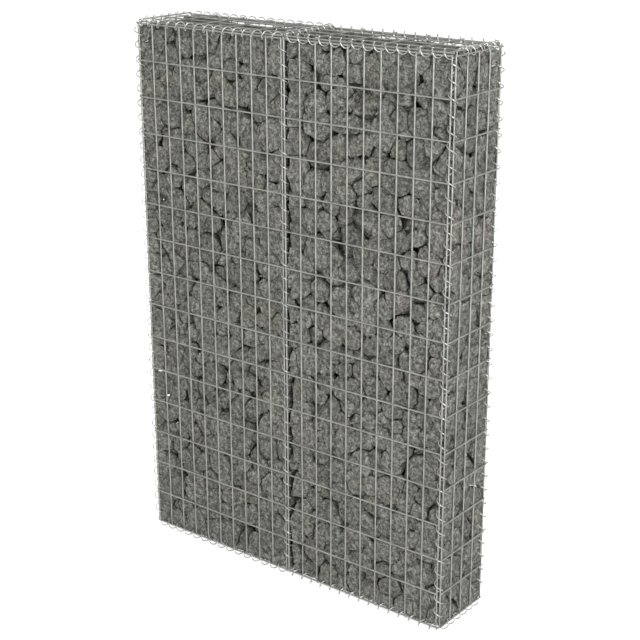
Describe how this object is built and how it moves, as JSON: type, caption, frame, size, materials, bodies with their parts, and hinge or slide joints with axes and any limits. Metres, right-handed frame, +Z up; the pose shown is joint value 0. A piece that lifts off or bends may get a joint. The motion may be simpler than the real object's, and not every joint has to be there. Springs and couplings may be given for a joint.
{
  "type": "gabion wall",
  "caption": "Free-standing gabion wall: welded wire mesh baskets in bays, laced at every edge with wire spirals and filled with angular grey stone.",
  "frame": {"origin": "centre of the wall on the ground, at the level of its lowest spirals", "axes": "+X along the wall to the right, +Y through the wall from its front to its back, +Z up"},
  "size_m": [1.0456, 0.2336, 1.5337],
  "materials": {
    "mesh_wire": "dull galvanised zinc",
    "spiral_wire": "dull galvanised zinc",
    "stone": "rough broken rock"
  },
  "bodies": {
    "root": {"front_panel_left": "mesh_wire", "front_panel_right": "mesh_wire", "back_panel_left": "mesh_wire", "back_panel_right": "mesh_wire", "end_panel_left": "mesh_wire", "end_panel_right": "mesh_wire", "middle_partition": "mesh_wire", "lid_left": "mesh_wire", "lid_right": "mesh_wire", "base_panel_left": "mesh_wire", "base_panel_right": "mesh_wire", "front_left_corner_spiral": "spiral_wire", "front_seam_spiral": "spiral_wire", "front_right_corner_spiral": "spiral_wire", "back_left_corner_spiral": "spiral_wire", "back_seam_spiral": "spiral_wire", "back_right_corner_spiral": "spiral_wire", "top_front_left_spiral": "spiral_wire", "top_front_right_spiral": "spiral_wire", "top_back_left_spiral": "spiral_wire", "top_back_right_spiral": "spiral_wire", "top_left_end_spiral": "spiral_wire", "top_middle_spiral": "spiral_wire", "top_right_end_spiral": "spiral_wire", "bottom_front_left_spiral": "spiral_wire", "bottom_front_right_spiral": "spiral_wire", "bottom_back_left_spiral": "spiral_wire", "bottom_back_right_spiral": "spiral_wire", "bottom_left_end_spiral": "spiral_wire", "bottom_middle_spiral": "spiral_wire", "bottom_right_end_spiral": "spiral_wire", "stone_fill_left": "stone", "stone_fill_right": "stone"}
  },
  "joints": []
}
